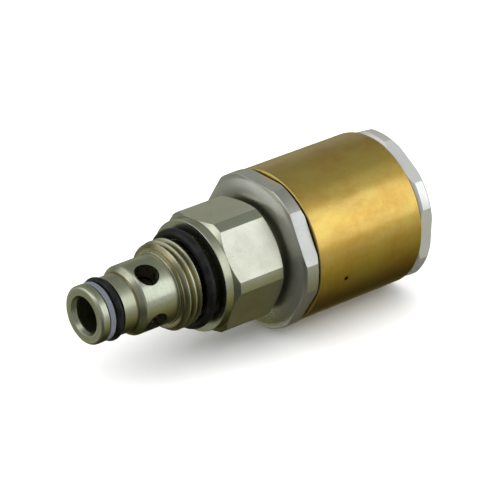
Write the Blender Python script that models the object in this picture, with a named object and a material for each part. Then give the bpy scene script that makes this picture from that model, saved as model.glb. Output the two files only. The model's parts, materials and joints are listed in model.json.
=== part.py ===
"""Air-piloted two-way hydraulic cartridge valve, as an assembly of separate pieces.

The frame is in metres with +Z up. The valve lies along X with its nose at -X and its air cap at +X.
The origin is on the valve's axis, in the plane of the seat face that bears on the manifold.

Air enters the rear cap and pushes the piston, the push pin and the spool towards the nose. The spool's
cross holes then line up with the four side ports, so the side ports open to the nose port. Two springs
bring the piston and the spool back. The vent hole lets the air in front of the piston breathe.

Sizes below are in millimetres. Outlines are lists of (x, radius) points, turned about the X axis.
Angles are in degrees about X, from +Y towards +Z.
"""
import math

import bmesh
import bpy

MM = 0.001
GAP = 0.3  # clearance between pieces that touch on the real valve
EDGE = 0.3  # usual edge chamfer

# Segments around the axis
FINE = 40
BODY = 32
COARSE = 24
SMALL = 16

# Cartridge: nose, cage and thread
NOSE_X = -27.2
NOSE_R = 6.23
NOSE_CHAMFER = 0.5
NOSE_GROOVE = (-25.3, -21.46)
NOSE_GROOVE_R = 4.85
LAND_END_X = -18.15
CAGE_X = -16.84
CAGE_R = 7.45
CAGE_END_X = -8.75
STEP_R = 7.75
SHOULDER_X = -8.35
PORT_X = -13.85
PORT_R = 2.65
PORT_ANGLE = 29.3
THREAD_R = 9.5
THREAD_ROOT_R = 8.6
THREAD_PITCH = 1.5875  # 3/4 inch, 16 threads to the inch
THREAD_START_X = -8.0
THREAD_TURNS = 3
THREAD_CREST = (0.45, 0.75)  # where a turn's crest and root begin and end along its pitch
THREAD_ROOT = (1.25, 1.45)
UNDERCUT_X = -3.4
UNDERCUT_R = 8.3

# Cartridge seals: an O-ring is (x, radius of its section's centre, radius of its section)
NOSE_SEAL = (-22.54, 5.95, 0.78)
PORT_SEAL = (-1.95, 9.65, 1.1)
BACKUP_WIDTH = 1.25
BACKUP_R = 6.2

# Cartridge: hexagon, stub and bores
SEAT_R = 12.0
HEX_FRONT_X = 2.0
HEX_REAR_X = 15.0
HEX_FLATS = 24.0
HEX_TURNED_R = 13.2
HEX_CHAMFER = 0.85
HEX_REAR_R = 11.9
HEX_FLAT_ANGLE = 24.55
STUB_R = 9.5
STUB_END_X = 24.5
BORE_R = 3.765
BORE_CHAMFER = 0.5
BORE_CHAMFER_DEPTH = 1.05
SPRING_BORE_X = 1.0
SPRING_BORE_R = 5.9
BUSH_BORE_X = 14.6
BUSH_BORE_R = 6.9
RING_GROOVE = (21.9, 23.5)
RING_GROOVE_R = 7.8
RING_INNER_R = 5.4
RING_SWEEP = 325.0

# Front flange, barrel and rear cap
PLATE_FLATS = 32.0
PLATE_TURNED_R = 17.0
PLATE_CHAMFER = 0.5
FLANGE_X = 16.3
FLANGE_BOSS_R = 11.5
FLANGE_SHOULDER_R = 15.9
BOSS_STEPS = 4
FLANGE_EDGE = 0.15
FLANGE_PLATE_X = 17.3
FLANGE_REAR_X = 20.85
FLANGE_FLAT_ANGLE = 31.2
PLUG_R = 14.9
BARREL = (21.15, 49.33)
BARREL_R = 16.8
BARREL_BORE_R = 15.3
VENT_X = 28.5
VENT_R = 0.5
VENT_ANGLE = 192.3
CAP_PLUG_X = 43.4
CAP_PLATE_X = 49.63
CAP_REAR_X = 53.0
CAP_FLAT_ANGLE = 2.4
CAP_GROOVE = (45.2, 47.8)
CAP_RECESS_R = 9.0
CAP_RECESS_X = 45.6
AIR_PORT_R = 4.3
AIR_PORT_CHAMFER = 0.6
CAP_REAR_CHAMFER = 0.8
SEAL_GROOVE_R = 12.7
CAP_SEAL = (46.5, 14.0, 1.0)

# Moving pieces, at rest
STROKE = 4.5
SPOOL = (-17.5, 0.4)
SPOOL_R = 3.5
SPOOL_HOLLOW_R = 2.0
SPOOL_HOLLOW_END_X = -7.2
SPOOL_PORT_R = 1.5
STEM_R = 1.8
STEM_END_X = 14.5
CLIP_GROOVE = (13.0, 14.2)
CLIP_GROOVE_R = 1.2
CLIP_R = 3.4
CLIP_SWEEP = 300.0
RETAINER = (12.0, 12.7)
RETAINER_R = 5.4
PIN_X = 14.8
PIN_R = 2.0
PIN_END_X = 42.9
PIN_COLLAR = (27.9, 29.0)
PIN_COLLAR_R = 3.4
PISTON_HUB_X = STUB_END_X + STROKE + GAP
PISTON_HUB_R = 8.0
PISTON = (36.0, 43.0)
PISTON_R = 14.9
GUIDE_GROOVE = (36.6, 39.0)
GUIDE_GROOVE_R = 13.6
GUIDE_RING_R = 15.0
GUIDE_RING_SWEEP = 352.0
PISTON_GROOVE = (39.5, 42.1)
PISTON_SEAL = (40.8, 14.0, 1.0)
NUT_RECESS_X = 38.0
NUT_RECESS_R = 6.0
WASHER_THICKNESS = 0.8
WASHER_R = 4.6
NUT_THICKNESS = 3.0
NUT_R = 4.2
NUT_CHAMFER = 0.5
NUT_FLATS = 7.0
NUT_FLAT_ANGLE = 36.0

# Guide bush of the push pin
BUSH = (14.9, 21.9)
BUSH_R = 6.6
PIN_SEAL_GROOVE = (15.9, 19.0)
PIN_SEAL_GROOVE_R = 4.2
BUSH_SEAL_GROOVE = (19.5, 21.4)
BUSH_SEAL_GROOVE_R = 4.95
PIN_SEAL = (16.95, 3.05, 0.72)
PIN_BACKUP_WIDTH = 0.8
BUSH_SEAL = (20.45, 5.92, 0.65)

# Springs: (radius of the coil, radius of the wire, turns)
SPOOL_SPRING = (4.4, 0.45, 5.2)
PISTON_SPRING = (12.0, 0.9, 3.1)
CLOSED_TURNS = 0.8

# Finishes: base colour, metallic, roughness
PLATED_STEEL = ((0.56, 0.54, 0.42), 1.0, 0.34)
PLATED_FLANGE = ((0.58, 0.56, 0.50), 1.0, 0.36)
BRASS = ((0.70, 0.47, 0.15), 1.0, 0.32)
ALUMINIUM = ((0.78, 0.78, 0.76), 1.0, 0.38)
BRONZE = ((0.52, 0.33, 0.17), 1.0, 0.40)
GROUND_STEEL = ((0.62, 0.62, 0.63), 1.0, 0.22)
SPRING_STEEL = ((0.46, 0.46, 0.48), 1.0, 0.30)
BLACK_STEEL = ((0.07, 0.07, 0.08), 1.0, 0.45)
RUBBER = ((0.015, 0.015, 0.017), 0.0, 0.42)
WHITE_PLASTIC = ((0.72, 0.75, 0.84), 0.0, 0.35)


def clear_scene():
    for existing in list(bpy.data.objects):
        bpy.data.objects.remove(existing, do_unlink=True)


def add_finish(piece, finish):
    colour, metallic, roughness = finish
    material = bpy.data.materials.new(piece.name + "_finish")
    material.use_nodes = True
    shader = material.node_tree.nodes["Principled BSDF"]
    shader.inputs["Base Color"].default_value = (*colour, 1.0)
    shader.inputs["Metallic"].default_value = metallic
    shader.inputs["Roughness"].default_value = roughness
    piece.data.materials.append(material)


def add_object(name, shape, x, finish=None):
    """Turn a bmesh into an object whose origin is on the axis at x."""
    bmesh.ops.recalc_face_normals(shape, faces=shape.faces[:])
    mesh = bpy.data.meshes.new(name)
    shape.to_mesh(mesh)
    shape.free()
    mesh.shade_smooth()
    mesh.set_sharp_from_angle(angle=math.radians(28.0))
    piece = bpy.data.objects.new(name, mesh)
    piece.location = (x * MM, 0.0, 0.0)
    bpy.context.scene.collection.objects.link(piece)
    if finish:
        add_finish(piece, finish)
    return piece


def turned(name, outline, finish=None, steps=COARSE, sweep=360.0):
    """Turn a closed outline of (x, radius) points about X. A sweep under 360 degrees leaves a split."""
    front = min(x for x, _ in outline)
    shape = bmesh.new()
    ring = [shape.verts.new(((x - front) * MM, 0.0, radius * MM)) for x, radius in outline]
    edges = [shape.edges.new(pair) for pair in zip(ring, ring[1:] + ring[:1])
             if max(vertex.co.z for vertex in pair) > 0.0]
    bmesh.ops.spin(shape, geom=ring + edges, cent=(0, 0, 0), axis=(1, 0, 0),
                   angle=math.radians(sweep), steps=steps)
    bmesh.ops.remove_doubles(shape, verts=shape.verts[:], dist=1e-6)
    if sweep < 360.0:
        bmesh.ops.holes_fill(shape, edges=shape.edges[:], sides=len(outline))
    return add_object(name, shape, front, finish)


def box_ring(name, x0, x1, inner, outer, finish, steps=COARSE, sweep=360.0):
    """A ring of rectangular section."""
    return turned(name, [(x0, inner), (x0, outer), (x1, outer), (x1, inner)], finish, steps, sweep)


def o_ring(name, seal, finish, steps=COARSE, sides=6):
    """A ring of round section, from (x, radius of the section's centre, radius of the section)."""
    x, radius, section = seal
    outline = []
    for side in range(sides):
        angle = math.tau * (side + 0.5) / sides
        outline.append((x + section * math.cos(angle), radius + section * math.sin(angle)))
    return turned(name, outline, finish, steps)


def coil_spring(name, x0, x1, coil, finish, per_turn, sides=5):
    """A compression spring between x0 and x1, wound closer over its first and last part turn."""
    mean_radius, wire_radius, turns = coil
    close_pitch = 2.25 * wire_radius
    length = x1 - x0 - 2.0 * wire_radius
    open_pitch = (length - 2.0 * CLOSED_TURNS * close_pitch) / (turns - 2.0 * CLOSED_TURNS)
    shape = bmesh.new()
    rings = []
    count = round(turns * per_turn)
    for step in range(count + 1):
        turn = turns * step / count
        closed = min(turn, CLOSED_TURNS) + max(turn - (turns - CLOSED_TURNS), 0.0)
        x = wire_radius + close_pitch * closed + open_pitch * (turn - closed)
        around = math.tau * turn
        ring = []
        for side in range(sides):
            angle = math.tau * side / sides
            radius = mean_radius + wire_radius * math.cos(angle)
            place = (x + wire_radius * math.sin(angle), radius * math.cos(around), radius * math.sin(around))
            ring.append(shape.verts.new([value * MM for value in place]))
        rings.append(ring)
    for near, far in zip(rings, rings[1:]):
        for side in range(sides):
            beside = (side + 1) % sides
            shape.faces.new((near[side], near[beside], far[beside], far[side]))
    shape.faces.new(rings[0])
    shape.faces.new(rings[-1])
    return add_object(name, shape, x0, finish)


def cut(piece, cutter):
    cutter.hide_render = True
    cutter.display_type = "WIRE"
    modifier = piece.modifiers.new(cutter.name, "BOOLEAN")
    modifier.operation = "DIFFERENCE"
    modifier.solver = "EXACT"
    modifier.object = cutter


def cut_hexagon(piece, x0, x1, across_flats, flat_angle):
    """Cut six flats with a sleeve that is hexagonal inside. A flat's middle faces the flat angle."""
    corner = across_flats / math.sqrt(3.0)
    outer = 1.5 * corner
    sleeve = turned(piece.name + "_flats", [(x0, corner), (x0, outer), (x1, outer), (x1, corner)], steps=6)
    sleeve.rotation_euler.x = math.radians(flat_angle + 30.0 - 90.0)
    cut(piece, sleeve)


def cut_hole(piece, label, x, angle, radius, reach, sides=SMALL):
    """Drill across the axis at an angle. The reach is the (start, end) distance from the axis."""
    start, end = reach
    shape = bmesh.new()
    bmesh.ops.create_cone(shape, cap_ends=True, segments=sides, radius1=radius * MM, radius2=radius * MM,
                          depth=(end - start) * MM)
    bmesh.ops.translate(shape, verts=shape.verts[:], vec=(0, 0, (start + end) / 2.0 * MM))
    drill = add_object(piece.name + "_" + label, shape, x)
    drill.rotation_euler.x = math.radians(angle - 90.0)
    cut(piece, drill)


def thread_outline():
    """Ridges at the thread's pitch, from the lead-in chamfer to the undercut."""
    points = []
    for turn in range(THREAD_TURNS):
        start = THREAD_START_X + turn * THREAD_PITCH
        points += [(start + along, THREAD_R) for along in THREAD_CREST]
        if turn < THREAD_TURNS - 1:
            points += [(start + along, THREAD_ROOT_R) for along in THREAD_ROOT]
    return points


def make_cartridge_body():
    groove_front, groove_rear = NOSE_GROOVE
    ring_front, ring_rear = RING_GROOVE
    outside = [
        (NOSE_X, BORE_R + BORE_CHAMFER),
        (NOSE_X, NOSE_R - NOSE_CHAMFER),
        (NOSE_X + NOSE_CHAMFER, NOSE_R),
        (groove_front, NOSE_R),
        (groove_front, NOSE_GROOVE_R),
        (groove_rear, NOSE_GROOVE_R),
        (groove_rear, NOSE_R),
        (LAND_END_X, NOSE_R),
        (CAGE_X, CAGE_R),
        (CAGE_END_X, CAGE_R),
        (CAGE_END_X, STEP_R),
        (SHOULDER_X, STEP_R),
        (SHOULDER_X, THREAD_ROOT_R),
        *thread_outline(),
        (UNDERCUT_X, UNDERCUT_R),
        (0.0, UNDERCUT_R),
        (0.0, SEAT_R),
        (HEX_FRONT_X, SEAT_R),
        (HEX_FRONT_X + HEX_CHAMFER, HEX_TURNED_R),
        (HEX_REAR_X - HEX_CHAMFER, HEX_TURNED_R),
        (HEX_REAR_X, HEX_REAR_R),
        (HEX_REAR_X, STUB_R),
        (STUB_END_X, STUB_R),
    ]
    inside = [
        (STUB_END_X, BUSH_BORE_R),
        (ring_rear, BUSH_BORE_R),
        (ring_rear, RING_GROOVE_R),
        (ring_front, RING_GROOVE_R),
        (ring_front, BUSH_BORE_R),
        (BUSH_BORE_X, BUSH_BORE_R),
        (BUSH_BORE_X, SPRING_BORE_R),
        (SPRING_BORE_X, SPRING_BORE_R),
        (SPRING_BORE_X, BORE_R),
        (NOSE_X + BORE_CHAMFER_DEPTH, BORE_R),
    ]
    body = turned("cartridge_body", outside + inside, PLATED_STEEL, BODY)
    cut_hexagon(body, HEX_FRONT_X - 1.0, HEX_REAR_X + 1.0, HEX_FLATS, HEX_FLAT_ANGLE)
    for side in range(2):
        cut_hole(body, "port_%d" % side, PORT_X, PORT_ANGLE + 90.0 * side, PORT_R, (-THREAD_R, THREAD_R))
    return body


def make_cartridge_seals():
    backup_x = NOSE_GROOVE[0] + GAP
    box_ring("nose_backup_ring", backup_x, backup_x + BACKUP_WIDTH, NOSE_GROOVE_R + GAP, BACKUP_R,
             WHITE_PLASTIC)
    o_ring("nose_o_ring", NOSE_SEAL, RUBBER, sides=8)
    o_ring("port_o_ring", PORT_SEAL, RUBBER, BODY, sides=8)


def make_spool_group(carriage):
    spool_front, spool_rear = SPOOL
    clip_front, clip_rear = CLIP_GROOVE
    outline = [
        (spool_front, SPOOL_HOLLOW_R),
        (spool_front, SPOOL_R - EDGE),
        (spool_front + EDGE, SPOOL_R),
        (spool_rear - EDGE, SPOOL_R),
        (spool_rear, SPOOL_R - EDGE),
        (spool_rear, STEM_R),
        (clip_front, STEM_R),
        (clip_front, CLIP_GROOVE_R),
        (clip_rear, CLIP_GROOVE_R),
        (clip_rear, STEM_R),
        (STEM_END_X, STEM_R),
        (STEM_END_X, 0.0),
        (SPOOL_HOLLOW_END_X, 0.0),
        (SPOOL_HOLLOW_END_X - 1.0, SPOOL_HOLLOW_R),
    ]
    spool = turned("spool", outline, BLACK_STEEL)
    for side in range(2):
        cut_hole(spool, "port_%d" % side, PORT_X + STROKE, PORT_ANGLE + 90.0 * side, SPOOL_PORT_R,
                 (-CAGE_R, CAGE_R), 12)
    retainer = box_ring("spring_retainer", *RETAINER, STEM_R + GAP, RETAINER_R, PLATED_STEEL)
    clip = box_ring("retainer_clip", clip_front + GAP, clip_rear - GAP, CLIP_GROOVE_R + GAP, CLIP_R,
                    BLACK_STEEL, SMALL, CLIP_SWEEP)
    for piece in (spool, retainer, clip):
        hold(piece, carriage)


def make_guide_bush():
    front, rear = BUSH
    seal_front, seal_rear = PIN_SEAL_GROOVE
    outer_front, outer_rear = BUSH_SEAL_GROOVE
    bore = PIN_R + GAP
    turned("pin_guide_bush", [
        (front, bore),
        (front, BUSH_R - EDGE),
        (front + EDGE, BUSH_R),
        (outer_front, BUSH_R),
        (outer_front, BUSH_SEAL_GROOVE_R),
        (outer_rear, BUSH_SEAL_GROOVE_R),
        (outer_rear, BUSH_R),
        (rear, BUSH_R),
        (rear, bore),
        (seal_rear, bore),
        (seal_rear, PIN_SEAL_GROOVE_R),
        (seal_front, PIN_SEAL_GROOVE_R),
        (seal_front, bore),
    ], BRONZE)
    backup_x = seal_rear - GAP - PIN_BACKUP_WIDTH
    box_ring("pin_backup_ring", backup_x, backup_x + PIN_BACKUP_WIDTH, bore, PIN_SEAL_GROOVE_R - GAP,
             WHITE_PLASTIC)
    o_ring("pin_seal", PIN_SEAL, RUBBER)
    o_ring("bush_o_ring", BUSH_SEAL, RUBBER)
    ring_front, ring_rear = RING_GROOVE
    box_ring("bush_retaining_ring", ring_front + GAP, ring_rear - GAP, RING_INNER_R, RING_GROOVE_R - GAP,
             BLACK_STEEL, COARSE, RING_SWEEP)


def make_front_flange():
    boss = []
    for step in range(BOSS_STEPS + 1):
        share = step / BOSS_STEPS
        boss.append((FLANGE_X + (FLANGE_PLATE_X - FLANGE_X) * share * share,
                     FLANGE_BOSS_R + (FLANGE_SHOULDER_R - FLANGE_BOSS_R) * share))
    outline = [
        (FLANGE_X, STUB_R + GAP),
        *boss,
        (FLANGE_PLATE_X, PLATE_TURNED_R - FLANGE_EDGE),
        (FLANGE_PLATE_X + FLANGE_EDGE, PLATE_TURNED_R),
        (FLANGE_REAR_X - PLATE_CHAMFER, PLATE_TURNED_R),
        (FLANGE_REAR_X, PLATE_TURNED_R - PLATE_CHAMFER),
        (FLANGE_REAR_X, PLUG_R),
        (STUB_END_X, PLUG_R),
        (STUB_END_X, STUB_R + GAP),
    ]
    flange = turned("front_flange", outline, PLATED_FLANGE, FINE)
    cut_hexagon(flange, FLANGE_PLATE_X - 1.0, FLANGE_REAR_X + 1.0, PLATE_FLATS, FLANGE_FLAT_ANGLE)
    return flange


def make_barrel():
    front, rear = BARREL
    barrel = turned("barrel", [
        (front, BARREL_BORE_R),
        (front, BARREL_R - EDGE),
        (front + EDGE, BARREL_R),
        (rear - EDGE, BARREL_R),
        (rear, BARREL_R - EDGE),
        (rear, BARREL_BORE_R),
    ], BRASS, FINE)
    cut_hole(barrel, "vent", VENT_X, VENT_ANGLE, VENT_R, (PLUG_R, PLATE_TURNED_R), 12)
    return barrel


def make_rear_cap():
    groove_front, groove_rear = CAP_GROOVE
    cap = turned("rear_cap", [
        (CAP_PLUG_X, CAP_RECESS_R),
        (CAP_PLUG_X, PLUG_R - EDGE),
        (CAP_PLUG_X + EDGE, PLUG_R),
        (groove_front, PLUG_R),
        (groove_front, SEAL_GROOVE_R),
        (groove_rear, SEAL_GROOVE_R),
        (groove_rear, PLUG_R),
        (CAP_PLATE_X, PLUG_R),
        (CAP_PLATE_X, PLATE_TURNED_R - PLATE_CHAMFER),
        (CAP_PLATE_X + PLATE_CHAMFER, PLATE_TURNED_R),
        (CAP_REAR_X - CAP_REAR_CHAMFER, PLATE_TURNED_R),
        (CAP_REAR_X, PLATE_TURNED_R - CAP_REAR_CHAMFER),
        (CAP_REAR_X, AIR_PORT_R + AIR_PORT_CHAMFER),
        (CAP_REAR_X - AIR_PORT_CHAMFER, AIR_PORT_R),
        (CAP_RECESS_X, AIR_PORT_R),
        (CAP_RECESS_X, CAP_RECESS_R),
    ], ALUMINIUM, FINE)
    cut_hexagon(cap, CAP_PLATE_X - 1.0, CAP_REAR_X + 1.0, PLATE_FLATS, CAP_FLAT_ANGLE)
    o_ring("rear_cap_o_ring", CAP_SEAL, RUBBER, BODY)
    return cap


def make_piston_group(carriage):
    front, rear = PISTON
    guide_front, guide_rear = GUIDE_GROOVE
    seal_front, seal_rear = PISTON_GROOVE
    bore = PIN_R + GAP
    piston = turned("air_piston", [
        (PISTON_HUB_X, bore),
        (PISTON_HUB_X, PISTON_HUB_R - EDGE),
        (PISTON_HUB_X + EDGE, PISTON_HUB_R),
        (front, PISTON_HUB_R),
        (front, PISTON_R),
        (guide_front, PISTON_R),
        (guide_front, GUIDE_GROOVE_R),
        (guide_rear, GUIDE_GROOVE_R),
        (guide_rear, PISTON_R),
        (seal_front, PISTON_R),
        (seal_front, SEAL_GROOVE_R),
        (seal_rear, SEAL_GROOVE_R),
        (seal_rear, PISTON_R),
        (rear, PISTON_R),
        (rear, NUT_RECESS_R),
        (NUT_RECESS_X, NUT_RECESS_R),
        (NUT_RECESS_X, bore),
    ], ALUMINIUM, BODY)
    guide = box_ring("piston_guide_ring", guide_front + GAP, guide_rear - GAP, GUIDE_GROOVE_R + GAP,
                     GUIDE_RING_R, WHITE_PLASTIC, BODY, GUIDE_RING_SWEEP)
    seal = o_ring("piston_seal", PISTON_SEAL, RUBBER, BODY)
    collar_front, collar_rear = PIN_COLLAR
    pin = turned("push_pin", [
        (PIN_X, 0.0),
        (PIN_X, PIN_R - EDGE),
        (PIN_X + EDGE, PIN_R),
        (collar_front, PIN_R),
        (collar_front, PIN_COLLAR_R),
        (collar_rear, PIN_COLLAR_R),
        (collar_rear, PIN_R),
        (PIN_END_X - EDGE, PIN_R),
        (PIN_END_X, PIN_R - EDGE),
        (PIN_END_X, 0.0),
    ], GROUND_STEEL)
    washer_x = NUT_RECESS_X + GAP
    nut_x = washer_x + WASHER_THICKNESS + GAP
    nut_rear = nut_x + NUT_THICKNESS
    washer = box_ring("piston_washer", washer_x, washer_x + WASHER_THICKNESS, bore, WASHER_R, PLATED_STEEL)
    nut = turned("piston_nut", [
        (nut_x, bore),
        (nut_x, NUT_R - NUT_CHAMFER),
        (nut_x + NUT_CHAMFER, NUT_R),
        (nut_rear - NUT_CHAMFER, NUT_R),
        (nut_rear, NUT_R - NUT_CHAMFER),
        (nut_rear, bore),
    ], PLATED_STEEL)
    cut_hexagon(nut, nut_x - 1.0, nut_rear + 1.0, NUT_FLATS, NUT_FLAT_ANGLE)
    for piece in (piston, guide, seal, pin, washer, nut):
        hold(piece, carriage)


def make_springs():
    coil_spring("spool_spring", SPRING_BORE_X + GAP, RETAINER[0] - GAP, SPOOL_SPRING, SPRING_STEEL, 12)
    coil_spring("piston_return_spring", STUB_END_X + GAP, PISTON[0] - GAP, PISTON_SPRING, SPRING_STEEL, 20)


def add_carriage(name, x):
    """An empty on the axis that carries the pieces which slide together."""
    carriage = bpy.data.objects.new(name, None)
    carriage.location = (x * MM, 0.0, 0.0)
    bpy.context.scene.collection.objects.link(carriage)
    return carriage


def hold(piece, carriage):
    """Parent a piece to its carriage and keep it where it is."""
    piece.location.x -= carriage.location.x
    piece.parent = carriage


def main():
    clear_scene()
    make_cartridge_body()
    make_cartridge_seals()
    make_guide_bush()
    make_front_flange()
    make_barrel()
    make_rear_cap()
    make_springs()
    make_spool_group(add_carriage("spool_carriage", SPOOL[0]))
    make_piston_group(add_carriage("piston_carriage", PISTON[0]))


main()
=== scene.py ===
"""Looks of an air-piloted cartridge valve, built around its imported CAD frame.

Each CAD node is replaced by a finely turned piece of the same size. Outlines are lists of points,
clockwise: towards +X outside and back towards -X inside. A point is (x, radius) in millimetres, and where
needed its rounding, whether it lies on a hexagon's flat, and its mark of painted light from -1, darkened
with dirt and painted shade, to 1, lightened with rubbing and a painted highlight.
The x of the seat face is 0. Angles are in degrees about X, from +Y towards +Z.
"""
import json
import math
from collections import namedtuple

import bmesh
import bpy
import numpy as np
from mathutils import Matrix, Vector


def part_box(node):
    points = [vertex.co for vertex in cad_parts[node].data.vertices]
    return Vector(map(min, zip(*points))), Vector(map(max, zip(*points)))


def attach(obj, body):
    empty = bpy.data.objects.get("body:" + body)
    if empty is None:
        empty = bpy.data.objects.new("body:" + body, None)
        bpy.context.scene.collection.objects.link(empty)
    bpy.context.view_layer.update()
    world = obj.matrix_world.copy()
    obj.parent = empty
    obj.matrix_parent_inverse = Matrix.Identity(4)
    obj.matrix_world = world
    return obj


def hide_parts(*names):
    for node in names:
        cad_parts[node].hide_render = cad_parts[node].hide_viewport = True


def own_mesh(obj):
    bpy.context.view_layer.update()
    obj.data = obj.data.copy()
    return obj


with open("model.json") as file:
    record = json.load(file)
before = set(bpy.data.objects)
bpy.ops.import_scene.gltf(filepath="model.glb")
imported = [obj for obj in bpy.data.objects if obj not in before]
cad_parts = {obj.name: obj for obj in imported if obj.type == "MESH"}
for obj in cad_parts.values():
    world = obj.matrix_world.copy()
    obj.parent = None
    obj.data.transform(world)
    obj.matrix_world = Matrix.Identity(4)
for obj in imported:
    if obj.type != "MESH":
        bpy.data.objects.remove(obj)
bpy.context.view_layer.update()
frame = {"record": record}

MM = 0.001
GAP = 0.3
TINY = 1e-6  # as good as nothing
SHARP = math.radians(38.0)

# Fineness of the meshes
ARC_STEPS = 4
INSET = 0.07  # extra loops this far from each rounded corner keep the faces beside it flat
ROUND_STEPS = 144
RING_STEPS = 96
DRILL_STEPS = 64
DRILL_SPARE = 1.0  # a drill reaches this far past the wall on both sides
O_RING_SIDES = 28
WIRE_SIDES = 16
WIRE_STEPS = 72  # along one turn of a spring

# Roundings of the corners
BROAD = 0.5  # from this size on, with twice the steps
SOFT = 0.28
USUAL = 0.13
CRISP = 0.06

# Cartridge
NOSE_R = 6.23
NOSE_ROUNDING = 0.75
NOSE_GROOVE = (-25.3, -21.46)
NOSE_GROOVE_R = 4.85
LAND_END_X = -18.15
CAGE_X = -16.84
CAGE_R = 7.45
CAGE_END_X = -8.75
STEP_R = 7.75
SHOULDER_X = -8.35
PORT_X = -13.85
PORT_R = 2.65
PORT_ANGLE = 29.3
THREAD_R = 9.5
THREAD_ROOT_R = 8.6
THREAD_PITCH = 25.4 / 16.0
THREAD_ROWS = 180
THREAD_PHASE_X = -5.9  # a crest's centre where the angle is THREAD_PHASE
THREAD_PHASE = 150.0
# Thread mark by height above the root: dirt with painted shade in the roots, rubbing with a painted
# highlight on the crests
THREAD_WEAR_AND_LIGHT = ((0.0, 0.4, 0.75, 0.92, 1.0), (-1.0, -0.9, -0.5, 0.2, 0.9))  # by height above the root
CREST_HALF = 0.13
ROOT_HALF = 0.17
RUN_OUT_SLOPE = 1.3
UNDERCUT_X = -3.4
UNDERCUT_R = 8.3
SEAT_R = 12.0
HEX_FRONT_X = 2.0
HEX_REAR_X = 15.0
HEX_CHAMFER = 0.85
HEX_EDGE = 0.03  # least height of the hexagon's chamfer
HEX_REAR_R = 11.9
STUB_R = 9.5
BORE_R = 3.765
BORE_CHAMFER = 0.5
BORE_CHAMFER_DEPTH = 1.05
SPRING_BORE_X = 1.0
SPRING_BORE_R = 5.9
BUSH_BORE_X = 14.6
BUSH_BORE_R = 6.9
RING_GROOVE = (21.9, 23.5)
RING_GROOVE_R = 7.8

# Flange, barrel and cap
PLATE_R = 17.0
PLATE_CHAMFER = 0.5
PLATE_EDGE = 0.05
FLANGE_PLATE_X = 17.3
FLANGE_PLATE_END_X = 20.85
FLANGE_BOSS_R = 11.5
FLANGE_SHOULDER_R = 15.9
FLANGE_EDGE = 0.15
# Painted shade on the flange's boss, darkest next to the hexagon where the gap between the parts lies in
# shade
FLANGE_GAP_SHADE = -0.72
BOSS_STEPS = 14
PLUG_R = 14.9
BARREL_BORE_R = 15.3
BARREL_ROUNDING = 0.22
VENT_X = 28.5
VENT_R = 0.5
VENT_ANGLE = 192.3
CAP_PLATE_X = 49.63
CAP_GROOVE = (45.2, 47.8)
CAP_RECESS_R = 9.0
CAP_RECESS_X = 45.6
CAP_REAR_CHAMFER = 0.8
AIR_PORT_R = 4.3
AIR_PORT_CHAMFER = 0.6
AIR_THREAD_PITCH = 25.4 / 28.0
AIR_THREAD_DEPTH = 0.5
AIR_THREAD_SLOPE = 1.3
AIR_THREAD_FLAT = 0.15  # share of the depth that is cut off at the crests
AIR_THREAD_START = 0.1  # below the rear face
AIR_THREAD_END_X = 46.4
AIR_THREAD_ROWS = 90
SEAL_GROOVE_R = 12.7

# Hexagons: size across flats, radius of the turned corners, angle of one flat's middle, and the number of
# lines across each flat and each corner
Hexagon = namedtuple("Hexagon", "flats corner_r angle flat_steps corner_steps")
BODY_HEXAGON = Hexagon(24.0, 13.2, 24.55, 22, 6)
FLANGE_HEXAGON = Hexagon(32.0, PLATE_R, 31.2, 18, 10)
CAP_HEXAGON = Hexagon(32.0, PLATE_R, 2.4, 18, 10)
NUT_HEXAGON = Hexagon(7.0, 7.0 / math.sqrt(3.0), 36.0, 12, 2)

# O-rings: radius of the section, and for those that are squeezed out of their groove, of its centre
NOSE_SEAL = (0.78, 5.95)
PORT_SEAL = (1.1, 9.65)
PORT_SEAL_TILT = 0.18
PORT_SEAL_TILT_ANGLE = 60.0
PIN_SEAL_SECTION = 0.72
BUSH_SEAL_SECTION = 0.65
AIR_SEAL_SECTION = 1.0

# Moving pieces and the pin's gland
SPOOL_HOLLOW_R = 2.0
SPOOL_HOLLOW_END_X = -7.2
SPOOL_HOLLOW_CONE = 1.0
SPOOL_END_X = 0.4
SPOOL_R = 3.5
SPOOL_PORT_X = -9.35
SPOOL_PORT_R = 1.5
STEM_R = 1.8
CLIP_GROOVE = (13.0, 14.2)
CLIP_GROOVE_R = 1.2
CLIP_SWEEP = 300.0
RING_INNER_R = 5.4
RING_SWEEP = 325.0
GUIDE_SWEEP = 352.0
PIN_R = 2.0
PIN_COLLAR = (27.9, 29.0)
PIN_COLLAR_R = 3.4
PISTON_FACE_X = 36.0
PISTON_HUB_R = 8.0
GUIDE_GROOVE = (36.6, 39.0)
GUIDE_GROOVE_R = 13.6
PISTON_GROOVE = (39.5, 42.1)
NUT_RECESS_X = 38.0
NUT_RECESS_R = 6.0
NUT_CHAMFER = 0.5
PIN_SEAL_GROOVE = (15.9, 19.0)
PIN_SEAL_GROOVE_R = 4.2
BUSH_SEAL_GROOVE = (19.5, 21.4)
BUSH_SEAL_GROOVE_R = 4.95

# Springs: radius of the wire, turns
SPOOL_SPRING = (0.45, 5.2)
PISTON_SPRING = (0.9, 3.1)
CLOSED_TURNS = 0.8
CLOSED_PITCH = 2.05  # in radii of the wire

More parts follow.
